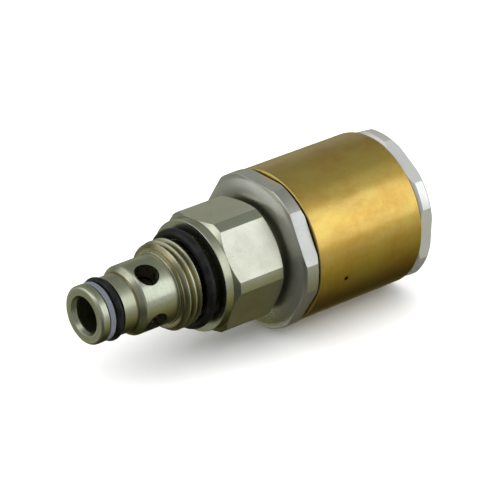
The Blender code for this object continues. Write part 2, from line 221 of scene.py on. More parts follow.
# Looks. Noise scales are per metre, and pairs are levels between which a change sets in
CLOUDED = (0.36, 0.68)
CLOUD_ON_FLATS = 0.25
SPECK_SCALE = 2300.0
SPECKED = (0.66, 0.74)
# Levels of the mark at which edges that stand out are lightened with rubbing and a painted highlight, and
# hollows are darkened with dirt and painted shade
RUBBED_AND_HIGHLIT = (0.2, 1.0)
GRIMED_AND_SHADED = (-0.1, -1.0)
NOISE_MIDDLE = (0.3, 0.7)
GRAIN_HEIGHT = 0.00003
SKIVE_HEIGHT = 0.00002
BRASS_CLEAN = (0.83, 0.585, 0.10)
BRASS_STAINED = (0.73, 0.38, 0.02)
BRASS_SMEARED = (0.56, 0.31, 0.04)
BRASS_PITTED = (0.26, 0.15, 0.03)
# Painted highlight with rubbing on the barrel's rounded edges
BRASS_RUBBED_HIGHLIGHT = (1.0, 0.86, 0.34)
LACQUER_IOR = 1.65
LACQUER_ROUGHNESS = 0.16
RUBBER = (0.003, 0.003, 0.0035)
RUBBER_BLOOM = (0.012, 0.012, 0.013)
SEAL_PLASTIC = (0.125, 0.137, 0.162)
SEAL_PLASTIC_CLOUD = (0.085, 0.092, 0.108)
FLOOR_COLOUR = (0.90, 0.90, 0.90)

# Camera and light
TARGET = Vector((0.0020, -0.0169, 0.0118))
AZIMUTH = -40.2
ELEVATION = 26.8
DISTANCE = 0.636
LENS = 229.2
SENSOR = 36.0

# Surroundings: colours by height along a leaning axis, and darker below along a steeper one
WORLD_LEAN = Vector((-0.47, -0.2, 1.0))
WORLD_STOPS = (
    (-1.10, (0.028, 0.026, 0.011)),
    (-1.04, (0.065, 0.055, 0.020)),
    (-0.95, (0.130, 0.118, 0.048)),
    (-0.78, (0.175, 0.170, 0.066)),
    (-0.59, (0.285, 0.287, 0.137)),
    (-0.34, (0.315, 0.317, 0.262)),
    (-0.12, (0.250, 0.258, 0.220)),
    (0.12, (0.185, 0.195, 0.160)),
    (0.36, (0.250, 0.272, 0.225)),
    (0.60, (0.280, 0.290, 0.270)),
)
GROUND_LEAN = Vector((0.5, 0.35, 1.0))
GROUND_FADE = (-0.85, -0.60)
GROUND_STRENGTH = 0.3

# Softboxes: direction from the target, distance, width, height, radiance, tint
WHITE = (1.0, 1.0, 1.0)
KEY_TOWARD = (0.62, -0.69, 0.375)
SOFTBOXES = {
    "key_softbox": (KEY_TOWARD, 0.5, 0.36, 0.36, 0.86, (0.98, 1.02, 1.10)),
    "key_halo": (KEY_TOWARD, 0.51, 0.76, 0.76, 0.2, WHITE),
    "front_softbox": ((-0.77, 0.24, 0.56), 0.6, 0.28, 0.32, 0.75, WHITE),
    "top_softbox": ((-0.22, -0.14, 0.96), 0.6, 0.34, 0.34, 0.8, WHITE),
    "rear_softbox": ((-0.74, 0.58, 0.375), 0.6, 0.53, 0.62, 0.5, WHITE),
}
FLOOR_LIGHT = ((0.0, 0.0, 1.0), 1.3, 3.4, 3.4, 1.55, WHITE)

# Floor: a flat disc whose rim curves up
FLOOR_INNER_R = 0.3
FLOOR_R = 0.7
FLOOR_CURVE_R = 1.1
FLOOR_CURVE = (0.1, 1.35)  # first and last angle of the curve, in radians
FLOOR_RINGS = 14
FLOOR_STEPS = 96
FLOOR_GAP = 0.0001

BODY_OF = {node: body for body, nodes in frame["record"]["behaviour"]["bodies"].items() for node in nodes}
SLOT_OF = {part["node"]: part["material_slot"] for part in frame["record"]["subparts"]}


# ---------------------------------------------------------------- materials


def add(tree, kind, inputs=None, **settings):
    """Add a shader node. An input is a value or the socket that feeds it."""
    made = tree.nodes.new("ShaderNode" + kind)
    for key, value in settings.items():
        setattr(made, key, value)
    for key, value in (inputs or {}).items():
        if isinstance(value, bpy.types.NodeSocket):
            tree.links.new(value, made.inputs[key])
        else:
            made.inputs[key].default_value = value
    return made


def math_node(tree, operation, first, second=0.0):
    return add(tree, "Math", {0: first, 1: second}, operation=operation).outputs[0]


def spread(tree, value, low, high, to_low, to_high):
    """Map low..high to to_low..to_high, held at the ends."""
    made = add(tree, "MapRange", {"Value": value, "From Min": low, "From Max": high,
                                  "To Min": to_low, "To Max": to_high})
    return made.outputs["Result"]


def blend_colour(tree, share, first, second):
    made = add(tree, "Mix", {"Factor": share, "A": first, "B": second}, data_type="RGBA")
    return made.outputs["Result"]


def colour(values):
    return (*values, 1.0)


def noise(tree, vector, scale, detail=2.0, roughness=0.5):
    made = add(tree, "TexNoise", {"Vector": vector, "Scale": scale, "Detail": detail,
                                  "Roughness": roughness})
    return made.outputs["Fac"]


def new_material(name):
    material = bpy.data.materials.new(name)
    material.use_nodes = True
    tree = material.node_tree
    return material, tree, tree.nodes["Principled BSDF"]


def machining_vector(tree, place):
    """Coordinates that run in rings round the axis, and slightly drawn along it on milled flats."""
    parts = add(tree, "SeparateXYZ", {0: place}).outputs
    squares = math_node(tree, "ADD", math_node(tree, "MULTIPLY", parts["Y"], parts["Y"]),
                        math_node(tree, "MULTIPLY", parts["Z"], parts["Z"]))
    rings = add(tree, "CombineXYZ", {0: parts["X"], 1: math_node(tree, "SQRT", squares)}).outputs[0]
    along = add(tree, "VectorMath", {0: place, 1: (0.45, 1.0, 1.0)}, operation="MULTIPLY").outputs[0]
    flat = add(tree, "Attribute", attribute_name="flat").outputs["Fac"]
    mixed = add(tree, "Mix", {"Factor": flat, "A": rings, "B": along}, data_type="VECTOR")
    return mixed.outputs["Result"]


def metal(name, base, shade, roughness, marks=0.35, mark_scale=2600.0, specks=0.5, cloud_scale=110.0,
          metallic=1.0, flats=None, grime_and_shade=(0.12, 0.11, 0.07)):
    """Machined metal: clouded colour, ring-shaped tool marks, specks, edges that stand out lightened with
    rubbing and a painted highlight, and hollow corners darkened with dirt and painted shade.
    flats is the (colour, roughness) of milled flats where they differ from the turned faces."""
    material, tree, shader = new_material(name)
    place = add(tree, "TexCoord").outputs["Object"]
    tool = noise(tree, machining_vector(tree, place), mark_scale, 4.0, 0.62)
    cloud = noise(tree, place, cloud_scale, 4.0, 0.6)
    speck = noise(tree, place, SPECK_SCALE, 2.0, 0.55)
    light_and_wear = add(tree, "Attribute", attribute_name="wear_and_painted_light").outputs["Fac"]
    flat = add(tree, "Attribute", attribute_name="flat").outputs["Fac"]
    flat_colour, flat_roughness = flats or (base, roughness)

    clouded = blend_colour(tree, spread(tree, cloud, *CLOUDED, 0.0, 1.0), colour(base), colour(shade))
    milled = blend_colour(tree, spread(tree, cloud, *CLOUDED, 0.0, CLOUD_ON_FLATS), colour(flat_colour),
                          colour(shade))
    faced = blend_colour(tree, flat, clouded, milled)
    dark = colour([0.45 * value for value in shade])
    specked = blend_colour(tree, spread(tree, speck, *SPECKED, 0.0, specks), faced, dark)
    # Edges that stand out are lightened: rubbing and a painted highlight
    rubbed_highlight = colour([min(1.0, 1.22 * value + 0.03) for value in base])
    rubbed_and_highlit = blend_colour(tree, spread(tree, light_and_wear, *RUBBED_AND_HIGHLIT, 0.0, 0.6), specked, rubbed_highlight)
    # Hollows are darkened: dirt and painted shade
    grimed_and_shaded = blend_colour(tree, spread(tree, light_and_wear, *GRIMED_AND_SHADED, 0.0, 0.8), rubbed_and_highlit, colour(grime_and_shade))
    tree.links.new(grimed_and_shaded, shader.inputs["Base Color"])

    rough = spread(tree, cloud, *NOISE_MIDDLE, -0.04, 0.07)
    finish = spread(tree, flat, 0.0, 1.0, roughness, flat_roughness)
    streak = spread(tree, tool, *NOISE_MIDDLE, -0.04, 0.04)
    total = math_node(tree, "ADD", math_node(tree, "ADD", rough, finish), streak)
    tree.links.new(total, shader.inputs["Roughness"])
    depth = spread(tree, flat, 0.0, 1.0, marks, 0.4 * marks)
    bump = add(tree, "Bump", {"Strength": depth, "Distance": GRAIN_HEIGHT, "Height": tool})
    tree.links.new(bump.outputs["Normal"], shader.inputs["Normal"])
    shader.inputs["Metallic"].default_value = metallic
    return material


def brass(name):
    """Lacquered brass tube: rubbed patches of darker patina, faint draw lines and fine scratches."""
    material, tree, shader = new_material(name)
    place = add(tree, "TexCoord").outputs["Object"]
    tool = noise(tree, machining_vector(tree, place), 1900.0, 5.0, 0.65)
    patina = noise(tree, place, 90.0, 7.0, 0.72)
    drawn = add(tree, "VectorMath", {0: place, 1: (0.35, 1.0, 1.0)}, operation="MULTIPLY").outputs[0]
    smear = noise(tree, drawn, 320.0, 3.0, 0.5)
    pit = noise(tree, place, 2600.0, 2.0, 0.5)
    light_and_wear = add(tree, "Attribute", attribute_name="wear_and_painted_light").outputs["Fac"]

    aged = blend_colour(tree, spread(tree, patina, 0.40, 0.68, 0.0, 1.0),
                        colour(BRASS_CLEAN), colour(BRASS_STAINED))
    smeared = blend_colour(tree, spread(tree, smear, 0.55, 0.75, 0.0, 0.35), aged, colour(BRASS_SMEARED))
    pitted = blend_colour(tree, spread(tree, pit, 0.68, 0.76, 0.0, 0.5), smeared, colour(BRASS_PITTED))
    # The barrel's edges are lightened: rubbing and a painted highlight
    rubbed_and_highlit = blend_colour(tree, spread(tree, light_and_wear, *RUBBED_AND_HIGHLIT, 0.0, 0.5), pitted, colour(BRASS_RUBBED_HIGHLIGHT))
    tree.links.new(rubbed_and_highlit, shader.inputs["Base Color"])
    rough = spread(tree, patina, *NOISE_MIDDLE, 0.27, 0.37)
    rub = spread(tree, smear, 0.4, 0.7, 0.0, 0.07)
    tree.links.new(math_node(tree, "ADD", rough, rub), shader.inputs["Roughness"])
    bump = add(tree, "Bump", {"Strength": 0.22, "Distance": GRAIN_HEIGHT, "Height": tool})
    tree.links.new(bump.outputs["Normal"], shader.inputs["Normal"])
    shader.inputs["Metallic"].default_value = 1.0
    shader.inputs["Coat Weight"].default_value = 1.0
    shader.inputs["Coat IOR"].default_value = LACQUER_IOR
    shader.inputs["Coat Roughness"].default_value = LACQUER_ROUGHNESS
    return material


def rubber(name):
    """Black nitrile rubber with a faint bloom and a fine moulded grain."""
    material, tree, shader = new_material(name)
    place = add(tree, "TexCoord").outputs["Object"]
    bloom = noise(tree, place, 420.0, 4.0, 0.6)
    grain = noise(tree, place, 5200.0, 3.0, 0.6)
    tone = blend_colour(tree, spread(tree, bloom, 0.42, 0.75, 0.0, 1.0), colour(RUBBER),
                        colour(RUBBER_BLOOM))
    tree.links.new(tone, shader.inputs["Base Color"])
    tree.links.new(spread(tree, bloom, *NOISE_MIDDLE, 0.34, 0.5), shader.inputs["Roughness"])
    shader.inputs["Specular IOR Level"].default_value = 0.3
    bump = add(tree, "Bump", {"Strength": 0.25, "Distance": GRAIN_HEIGHT, "Height": grain})
    tree.links.new(bump.outputs["Normal"], shader.inputs["Normal"])
    return material


def seal_plastic(name):
    """Bluish-grey seal plastic with a faint cloud and skived grain."""
    material, tree, shader = new_material(name)
    place = add(tree, "TexCoord").outputs["Object"]
    cloud = noise(tree, place, 260.0, 3.0, 0.6)
    skive = noise(tree, machining_vector(tree, place), 3000.0, 3.0, 0.6)
    tone = blend_colour(tree, spread(tree, cloud, 0.35, 0.7, 0.0, 1.0), colour(SEAL_PLASTIC),
                        colour(SEAL_PLASTIC_CLOUD))
    tree.links.new(tone, shader.inputs["Base Color"])
    tree.links.new(spread(tree, skive, *NOISE_MIDDLE, 0.28, 0.42), shader.inputs["Roughness"])
    bump = add(tree, "Bump", {"Strength": 0.3, "Distance": SKIVE_HEIGHT, "Height": skive})
    tree.links.new(bump.outputs["Normal"], shader.inputs["Normal"])
    return material


# The hollow colour given to a metal darkens its hollows with dirt and painted shade
MATERIALS = {
    "plated_body": metal(
        "plated_body_look", (0.60, 0.62, 0.50), (0.51, 0.52, 0.38), 0.28,
        flats=((0.92, 0.91, 0.78), 0.42), grime_and_shade=(0.30, 0.235, 0.095)),
    "plated_flange": metal(
        "plated_flange_look", (0.65, 0.65, 0.62), (0.56, 0.555, 0.51), 0.30, metallic=0.97,
        flats=((0.76, 0.76, 0.75), 0.46)),
    "brass_barrel": brass("brass_barrel_look"),
    "cap_aluminium": metal(
        "cap_aluminium_look", (0.86, 0.86, 0.84), (0.78, 0.78, 0.76), 0.38, specks=0.2, metallic=0.85,
        flats=((0.80, 0.80, 0.80), 0.50), grime_and_shade=(0.2, 0.2, 0.19)),
    "piston_aluminium": metal(
        "piston_aluminium_look", (0.76, 0.76, 0.75), (0.66, 0.66, 0.66), 0.30, specks=0.2),
    "bush_bronze": metal("bush_bronze_look", (0.60, 0.36, 0.18), (0.42, 0.24, 0.12), 0.36),
    "ground_steel": metal(
        "ground_steel_look", (0.62, 0.62, 0.63), (0.55, 0.55, 0.57), 0.18, marks=0.15, mark_scale=6000.0,
        specks=0.1),
    "small_steel": metal("small_steel_look", (0.60, 0.60, 0.54), (0.50, 0.49, 0.42), 0.30),
    "spring_steel": metal("spring_steel_look", (0.46, 0.46, 0.48), (0.34, 0.34, 0.37), 0.28),
    "black_steel": metal(
        "black_steel_look", (0.05, 0.04, 0.035), (0.03, 0.024, 0.02), 0.38, specks=0.2,
        grime_and_shade=(0.02, 0.02, 0.02)),
    "seal_rubber": rubber("seal_rubber_look"),
    "backup_plastic": seal_plastic("backup_plastic_look"),
}


# ------------------------------------------------------------------- meshes


def extent(node):
    """First x, last x and greatest height of a CAD node, in millimetres."""
    low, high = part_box(node)
    return low.x / MM, high.x / MM, high.z / MM


def place_piece(piece, node):
    """Let a piece stand for a CAD node: hide the node, put the piece on the node's body and give it the
    material of the node's slot.
    """
    piece.data.shade_smooth()
    piece.data.set_sharp_from_angle(angle=SHARP)
    piece.data.materials.clear()
    piece.data.materials.append(MATERIALS[SLOT_OF[node]])
    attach(piece, BODY_OF[node])
    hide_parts(node)
    return piece


def new_piece(node, points, faces, wear_and_painted_light=None, flat=None):
    """A mesh object from points in millimetres, with its mark of painted light, dirt and rubbing, and its
    flatness, kept as attributes.
    """
    mesh = bpy.data.meshes.new(node + "_fine")
    mesh.from_pydata((np.asarray(points) * MM).tolist(), [], faces)
    for name, values in (("wear_and_painted_light", wear_and_painted_light), ("flat", flat)):
        if values is not None:
            attribute = mesh.attributes.new(name, "FLOAT", "POINT")
            attribute.data.foreach_set("value", np.asarray(values, float))
    mesh.update()
    piece = bpy.data.objects.new(node + "_fine", mesh)
    bpy.context.scene.collection.objects.link(piece)
    return piece


def even_angles(steps, sweep=360.0):
    """Angles about X. Under a full turn the last one is the far end."""
    closed = sweep >= 360.0
    return 90.0 + np.linspace(0.0, sweep, steps + (0 if closed else 1), endpoint=not closed)


def edge_angle(hexagon):
    """Angle from the middle of a hexagon's flat to the edge where its turned corner starts."""
    return math.degrees(math.acos(hexagon.flats / 2.0 / hexagon.corner_r))


def hexagon_angles(hexagon):
    """Angles with a line on each edge between a flat and a turned corner, and one close beside it."""
    edge = edge_angle(hexagon)
    beside = math.degrees(INSET / hexagon.corner_r)
    across = np.linspace(-edge + beside, edge - beside, hexagon.flat_steps)
    corner = np.linspace(edge + beside, 60.0 - edge - beside, hexagon.corner_steps)
    sixth = np.concatenate([[-edge], across, [edge], corner])
    return np.concatenate([hexagon.angle + 60.0 * side + sixth for side in range(6)])


def off_flat(hexagon, angles):
    """Angle from the middle of the nearest flat."""
    return (angles - hexagon.angle + 30.0) % 60.0 - 30.0


def hexagon_limit(hexagon, angles):
    """Distance from the axis to a hexagon whose corners are turned down."""
    return np.minimum(hexagon.flats / 2.0 / np.cos(np.radians(off_flat(hexagon, angles))), hexagon.corner_r)


def crown(front, rear, hexagon, limit, edge=USUAL):
    """Rim of a hexagon. front and rear are (x of the face, radius where its chamfer starts, chamfer)."""
    points = []
    for x, start, chamfer in (front, rear):
        share = (limit - start) / (hexagon.corner_r - start)
        points.append((x, np.minimum(start, limit - edge)))
        points.append((x + np.sign(chamfer) * np.maximum(edge, abs(chamfer) * share), limit))
    face, rise, end, fall = points
    return [(*face, CRISP), (*rise, CRISP, True), (*fall, CRISP, True), (*end, CRISP)]


def corner_arc(before, here, after, rounding):
    """Points of a rounded corner, and its mark: 1 where it stands out, lightened with rubbing and a painted
    highlight, -1 where it is hollow, darkened with dirt and painted shade.
    """
    back, ahead = before - here, after - here
    back_length, ahead_length = np.hypot(*back), np.hypot(*ahead)
    reach = np.minimum(rounding, 0.4 * np.minimum(back_length, ahead_length))
    start = here + back * reach / back_length
    end = here + ahead * reach / ahead_length
    steps = ARC_STEPS if rounding < BROAD else 2 * ARC_STEPS
    shares = np.linspace(0.0, 1.0, steps + 1)
    arc = [(1 - s) ** 2 * start + 2 * s * (1 - s) * here + s ** 2 * end for s in shares]
    turn = np.mean(back[1] * ahead[0] - back[0] * ahead[1])
    return arc, 1.0 if turn < 0.0 else -1.0


def rounded(outline, count, closed):
    """Rows of (x, radius) arrays along an outline with its corners rounded, with each row's mark of painted
    light, dirt and rubbing, and whether it lies on a hexagon's flat. Points that need no rounding are
    kept as they are."""
    points = [np.array([np.broadcast_to(value, count) for value in point[:2]], float) for point in outline]
    roundings = [point[2] if len(point) > 2 else USUAL for point in outline]
    on_flat = [len(point) > 3 and point[3] for point in outline]
    own_wear_and_light = [np.broadcast_to(point[4] if len(point) > 4 else 0.0, count) for point in outline]
    if not closed:
        roundings[0] = roundings[-1] = 0.0
    total = len(points)
    arcs, arc_wear_and_light = [], []
    for index, here in enumerate(points):
        if roundings[index] == 0.0:
            arcs.append([here])
            arc_wear_and_light.append(own_wear_and_light[index])
            continue
        arc, bend = corner_arc(points[index - 1], here, points[(index + 1) % total], roundings[index])
        arcs.append(arc)
        arc_wear_and_light.append(np.full(count, bend))
    rows, wear_and_painted_light, flat = [], [], []
    for index, arc in enumerate(arcs):
        rows.extend(arc)
        wear_and_painted_light.extend([arc_wear_and_light[index]] * len(arc))
        flat.extend([on_flat[index]] * len(arc))
        if index == total - 1 and not closed:
            break
        following = (index + 1) % total
        start, end = arc[-1], arcs[following][0]
        run = np.hypot(*(end - start))
        share = np.minimum(INSET / np.maximum(run, TINY), 0.3)
        for corner, at in ((index, share), (following, 1.0 - share)):
            if roundings[corner] > 0.0:
                rows.append(start + (end - start) * at)
                wear_and_painted_light.append(np.zeros(count))
                flat.append(on_flat[index] and on_flat[following])
    return np.array(rows), np.array(wear_and_painted_light), np.array(flat)


def turned(node, outline, angles=None, closed=True, full=True, hexagon=None):
    """Turn an outline about X and return the piece. An open outline starts and ends on the axis."""
    angles = even_angles(RING_STEPS) if angles is None else angles
    rows, wear_and_painted_light, flat = rounded(outline, len(angles), closed)
    turn = np.radians(angles)
    x, radius = rows[:, 0, :], rows[:, 1, :]
    points = np.stack([x, radius * np.cos(turn), radius * np.sin(turn)], axis=-1)
    height, width = x.shape
    milled = np.zeros((height, width))
    if hexagon:
        milled = np.outer(flat, np.abs(off_flat(hexagon, angles)) < edge_angle(hexagon) + 0.01)
    faces = []
    for row in range(height if closed else height - 1):
        following = (row + 1) % height
        for column in range(width if full else width - 1):
            beside = (column + 1) % width
            faces.append((row * width + column, row * width + beside,
                          following * width + beside, following * width + column))
    if not full:
        faces.append([row * width for row in range(height)])
        faces.append([row * width + width - 1 for row in reversed(range(height))])
    piece = new_piece(node, points.reshape(-1, 3), faces, wear_and_painted_light.reshape(-1), milled.reshape(-1))
    if not closed:
        weld(piece)
    return piece


def weld(piece):
    """Merge the points that lie on the axis at the ends of a solid piece."""
    shape = bmesh.new()
    shape.from_mesh(piece.data)
    on_axis = [vertex for vertex in shape.verts if math.hypot(vertex.co.y, vertex.co.z) < TINY]
    bmesh.ops.remove_doubles(shape, verts=on_axis, dist=TINY)
    shape.to_mesh(piece.data)
    shape.free()


def drilled(piece, x, angles, radius, reach):
    """Drill across the axis at each angle. reach is the (start, end) distance from the axis."""
    cutters = []
    for angle in angles:
        shape = bmesh.new()
        bmesh.ops.create_cone(shape, cap_ends=True, segments=DRILL_STEPS, radius1=radius * MM,
                              radius2=radius * MM, depth=(reach[1] - reach[0]) * MM)
        bmesh.ops.translate(shape, verts=shape.verts[:], vec=(0, 0, sum(reach) / 2.0 * MM))
        mesh = bpy.data.meshes.new("drill")
        shape.to_mesh(mesh)
        shape.free()
        cutter = bpy.data.objects.new("drill", mesh)
        cutter.location = (x * MM, 0.0, 0.0)
        cutter.rotation_euler.x = math.radians(angle - 90.0)
        bpy.context.scene.collection.objects.link(cutter)
        cut = piece.modifiers.new("drill", "BOOLEAN")
        cut.operation = "DIFFERENCE"
        cut.solver = "EXACT"
        cut.object = cutter
        cutters.append(cutter)
    graph = bpy.context.evaluated_depsgraph_get()
    mesh = bpy.data.meshes.new_from_object(piece.evaluated_get(graph))
    piece.modifiers.clear()
    piece.data = mesh
    for cutter in cutters:
        bpy.data.objects.remove(cutter)
    return piece


def thread_radius(x, angles):
    """Radius of the right-hand thread at x for each angle, with its lead-in chamfer and run-out."""
    crest_x = THREAD_PHASE_X + THREAD_PITCH * (angles - THREAD_PHASE) / 360.0
    along = (x - crest_x + THREAD_PITCH / 2.0) % THREAD_PITCH - THREAD_PITCH / 2.0
    flank = (np.abs(along) - CREST_HALF) / (THREAD_PITCH / 2.0 - ROOT_HALF - CREST_HALF)
    depth = np.clip(flank, 0.0, 1.0)
    thread = THREAD_R - (THREAD_R - THREAD_ROOT_R) * depth
    lead_in = THREAD_ROOT_R + (x - SHOULDER_X)
    run_out = UNDERCUT_R + RUN_OUT_SLOPE * (UNDERCUT_X - x)
    return np.minimum(np.minimum(thread, lead_in), run_out)


def air_thread_radius(x, angles, rear):
    """Radius of the fitting's right-hand thread in the cap at x, deepest between its crests."""
    turns = (x - rear) / AIR_THREAD_PITCH - angles / 360.0
    depth = np.abs(turns % 1.0 - 0.5) * 2.0
    share = np.clip(AIR_THREAD_SLOPE * depth - AIR_THREAD_FLAT, 0.0, 1.0)
    fade = min(1.0, (x - AIR_THREAD_END_X) / AIR_THREAD_PITCH)
    return AIR_PORT_R + AIR_THREAD_DEPTH * fade * share


def make_body():
    nose_x, stub_end_x, _ = extent("cartridge_body")
    angles = hexagon_angles(BODY_HEXAGON)
    limit = hexagon_limit(BODY_HEXAGON, angles)
    thread = []
    for x in np.linspace(SHOULDER_X, UNDERCUT_X, THREAD_ROWS):
        radius = thread_radius(x, angles)
        height = (radius - THREAD_ROOT_R) / (THREAD_R - THREAD_ROOT_R)
        # Dirt with painted shade in the thread's roots, rubbing with a painted highlight on its crests
        thread.append((x, radius, 0.0, False, np.interp(height, *THREAD_WEAR_AND_LIGHT)))
    outline = [
        (nose_x, BORE_R + BORE_CHAMFER, CRISP),
        (nose_x, NOSE_R, NOSE_ROUNDING),
        (NOSE_GROOVE[0], NOSE_R, CRISP),
        (NOSE_GROOVE[0], NOSE_GROOVE_R),
        (NOSE_GROOVE[1], NOSE_GROOVE_R),
        (NOSE_GROOVE[1], NOSE_R, CRISP),
        (LAND_END_X, NOSE_R, SOFT),
        (CAGE_X, CAGE_R, SOFT),
        (CAGE_END_X, CAGE_R),
        (CAGE_END_X, STEP_R),
        (SHOULDER_X, STEP_R, CRISP),
        *thread,
        (0.0, UNDERCUT_R, SOFT),
        (0.0, SEAT_R),
        *crown((HEX_FRONT_X, SEAT_R, HEX_CHAMFER), (HEX_REAR_X, HEX_REAR_R, -HEX_CHAMFER),
               BODY_HEXAGON, limit, HEX_EDGE),
        (HEX_REAR_X, STUB_R),
        (stub_end_x, STUB_R),
        (stub_end_x, BUSH_BORE_R),
        (RING_GROOVE[1], BUSH_BORE_R),
        (RING_GROOVE[1], RING_GROOVE_R),
        (RING_GROOVE[0], RING_GROOVE_R),
        (RING_GROOVE[0], BUSH_BORE_R),
        (BUSH_BORE_X, BUSH_BORE_R),
        (BUSH_BORE_X, SPRING_BORE_R),
        (SPRING_BORE_X, SPRING_BORE_R),
        (SPRING_BORE_X, BORE_R),
        (nose_x + BORE_CHAMFER_DEPTH, BORE_R),
    ]
    body = turned("cartridge_body", outline, angles, hexagon=BODY_HEXAGON)
    drilled(body, PORT_X, (PORT_ANGLE, PORT_ANGLE + 90.0), PORT_R, (-THREAD_R, THREAD_R))
    place_piece(body, "cartridge_body")


def make_flange():
    front, rear, _ = extent("front_flange")
    angles = hexagon_angles(FLANGE_HEXAGON)
    limit = hexagon_limit(FLANGE_HEXAGON, angles)
    boss = []
    # The boss is darkened with painted shade towards the hexagon, in the gap between the parts
    for share in np.linspace(0.0, 1.0, BOSS_STEPS + 1):
        boss.append((front + (FLANGE_PLATE_X - front) * share ** 2,
                     FLANGE_BOSS_R + (FLANGE_SHOULDER_R - FLANGE_BOSS_R) * share, 0.0, False,
                     FLANGE_GAP_SHADE * (1.0 - share)))
    outline = [
        (front, STUB_R + GAP),
        *boss,
        *crown((FLANGE_PLATE_X, PLATE_R - FLANGE_EDGE, FLANGE_EDGE),
               (FLANGE_PLATE_END_X, PLATE_R - PLATE_CHAMFER, -PLATE_CHAMFER),
               FLANGE_HEXAGON, limit, PLATE_EDGE),
        (FLANGE_PLATE_END_X, PLUG_R),
        (rear, PLUG_R),
        (rear, STUB_R + GAP),
    ]
    place_piece(turned("front_flange", outline, angles, hexagon=FLANGE_HEXAGON), "front_flange")


def make_barrel():
    front, rear, radius = extent("barrel")
    outline = [
        (front, BARREL_BORE_R),
        (front, radius, BARREL_ROUNDING),
        (rear, radius, BARREL_ROUNDING),
        (rear, BARREL_BORE_R),
    ]
    barrel = turned("barrel", outline, even_angles(ROUND_STEPS))
    drilled(barrel, VENT_X, (VENT_ANGLE,), VENT_R, (BARREL_BORE_R - DRILL_SPARE, radius + DRILL_SPARE))
    place_piece(barrel, "barrel")


def make_cap():
    front, rear, _ = extent("rear_cap")
    angles = hexagon_angles(CAP_HEXAGON)
    limit = hexagon_limit(CAP_HEXAGON, angles)
    thread = []
    for x in np.linspace(rear - AIR_THREAD_START, AIR_THREAD_END_X, AIR_THREAD_ROWS):
        cut = air_thread_radius(x, angles, rear)
        radius = np.maximum(cut, AIR_PORT_R + AIR_PORT_CHAMFER - (rear - x))
        # Dirt with painted shade in the port thread's grooves, darkest where the cut is deepest
        thread.append((x, radius, 0.0, False, (AIR_PORT_R - cut) / AIR_THREAD_DEPTH))
    outline = [
        (front, CAP_RECESS_R),
        (front, PLUG_R),
        (CAP_GROOVE[0], PLUG_R),
        (CAP_GROOVE[0], SEAL_GROOVE_R),
        (CAP_GROOVE[1], SEAL_GROOVE_R),
        (CAP_GROOVE[1], PLUG_R),
        (CAP_PLATE_X, PLUG_R),
        *crown((CAP_PLATE_X, PLATE_R - PLATE_CHAMFER, PLATE_CHAMFER),
               (rear, PLATE_R - CAP_REAR_CHAMFER, -CAP_REAR_CHAMFER), CAP_HEXAGON, limit),
        (rear, AIR_PORT_R + AIR_PORT_CHAMFER),
        *thread,
        (CAP_RECESS_X, AIR_PORT_R),
        (CAP_RECESS_X, CAP_RECESS_R),
    ]
    place_piece(turned("rear_cap", outline, angles, hexagon=CAP_HEXAGON), "rear_cap")


def make_o_ring(node, section, centre=None, tilt=0.0, tilt_angle=0.0):
    """An O-ring in its node's place. A tilt moves the side at tilt_angle towards +X."""
    front, rear, radius = extent(node)
    centre = radius - section if centre is None else centre
    angles = even_angles(RING_STEPS)
    middle = (front + rear) / 2.0 + tilt * np.cos(np.radians(angles - tilt_angle))
    outline = []
    for side in range(O_RING_SIDES):
        turn = -math.tau * side / O_RING_SIDES
        outline.append((middle + section * math.cos(turn), centre + section * math.sin(turn), 0.0))
    place_piece(turned(node, outline, angles), node)


def make_box_ring(node, inner, sweep=360.0, rounding=USUAL):
    """A ring of rectangular section in its node's place, split if the sweep is under a full turn."""
    front, rear, radius = extent(node)
    outline = [(front, inner, rounding), (front, radius, rounding), (rear, radius, rounding),
               (rear, inner, rounding)]
    ring = turned(node, outline, even_angles(RING_STEPS, sweep), full=sweep >= 360.0)
    place_piece(ring, node)


def make_bush():
    front, rear, radius = extent("pin_guide_bush")
    bore = PIN_R + GAP
    outline = [
        (front, bore),
        (front, radius, SOFT),
        (BUSH_SEAL_GROOVE[0], radius),
        (BUSH_SEAL_GROOVE[0], BUSH_SEAL_GROOVE_R),
        (BUSH_SEAL_GROOVE[1], BUSH_SEAL_GROOVE_R),
        (BUSH_SEAL_GROOVE[1], radius),
        (rear, radius),
        (rear, bore),
        (PIN_SEAL_GROOVE[1], bore),
        (PIN_SEAL_GROOVE[1], PIN_SEAL_GROOVE_R),
        (PIN_SEAL_GROOVE[0], PIN_SEAL_GROOVE_R),
        (PIN_SEAL_GROOVE[0], bore),
    ]
    place_piece(turned("pin_guide_bush", outline), "pin_guide_bush")


def make_spool():
    front, rear, _ = extent("spool")
    outline = [
        (SPOOL_HOLLOW_END_X, 0.0),
        (SPOOL_HOLLOW_END_X - SPOOL_HOLLOW_CONE, SPOOL_HOLLOW_R),
        (front, SPOOL_HOLLOW_R),
        (front, SPOOL_R, SOFT),
        (SPOOL_END_X, SPOOL_R, SOFT),
        (SPOOL_END_X, STEM_R),
        (CLIP_GROOVE[0], STEM_R),
        (CLIP_GROOVE[0], CLIP_GROOVE_R),
        (CLIP_GROOVE[1], CLIP_GROOVE_R),
        (CLIP_GROOVE[1], STEM_R),
        (rear, STEM_R, SOFT),
        (rear, 0.0),
    ]
    spool = turned("spool", outline, closed=False)
    drilled(spool, SPOOL_PORT_X, (PORT_ANGLE, PORT_ANGLE + 90.0), SPOOL_PORT_R, (-CAGE_R, CAGE_R))
    place_piece(spool, "spool")


